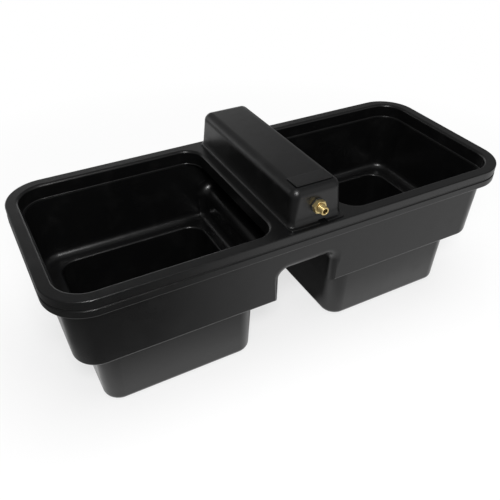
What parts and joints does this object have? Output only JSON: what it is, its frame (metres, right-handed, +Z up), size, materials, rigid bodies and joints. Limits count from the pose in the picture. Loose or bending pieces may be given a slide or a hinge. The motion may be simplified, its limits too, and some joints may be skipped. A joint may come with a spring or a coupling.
{
  "type": "livestock water trough",
  "caption": "Black moulded water trough with two stepped bowls joined by an arched bridge, and a lift-off hood over a brass float valve.",
  "frame": {"origin": "on the ground, under the middle of the bridge between the two lower bowls", "axes": "+X along the trough, -Y towards the side with the water inlet, +Z up"},
  "size_m": [1.001, 0.4175, 0.416],
  "materials": {
    "tub_plastic": "satin black moulded polyethylene with a fine grain",
    "hood_plastic": "satin black moulded polyethylene with a fine grain",
    "float_plastic": "smooth black blow-moulded plastic",
    "plug_plastic": "black moulded plastic",
    "brass": "turned brass, dulled a little",
    "rubber": "plain black rubber",
    "nylon": "ivory nylon",
    "steel": "stainless steel"
  },
  "bodies": {
    "tub": {"tub": "tub_plastic"},
    "hood": {"hood": "hood_plastic", "backnut": "brass", "outer_washer": "rubber", "inner_washer": "rubber", "valve_body": "brass", "valve_seat": "nylon", "end_cap": "brass", "lever_pin": "steel", "pin_clip": "steel"},
    "lever": {"float_lever": "brass", "float_rod": "steel", "rod_nuts": "steel", "float": "float_plastic"},
    "piston": {"piston": "brass", "piston_seal": "rubber"},
    "left_plug": {"left_drain_plug": "plug_plastic", "left_drain_seal": "rubber"},
    "right_plug": {"right_drain_plug": "plug_plastic", "right_drain_seal": "rubber"}
  },
  "joints": [
    {"name": "hood_lift", "type": "slide", "parent": "tub", "child": "hood", "axis": [0, 0, 1], "range_m": [0, 0.13]},
    {"name": "float_swing", "type": "hinge", "parent": "hood", "child": "lever", "pos_m": [0, -0.13691, 0.351], "axis": [1, 0, 0], "range_deg": [0, 14]},
    {"name": "piston_travel", "type": "slide", "parent": "hood", "child": "piston", "axis": [0, -1, 0], "range_m": [0, 0.0055]},
    {"name": "left_plug_pull", "type": "slide", "parent": "tub", "child": "left_plug", "axis": [0, 0, 1], "range_m": [0, 0.08]},
    {"name": "right_plug_pull", "type": "slide", "parent": "tub", "child": "right_plug", "axis": [0, 0, 1], "range_m": [0, 0.08]}
  ],
  "couplings": [
    {"joint": "piston_travel", "follows": "float_swing", "m_per_rad": 0.022}
  ]
}
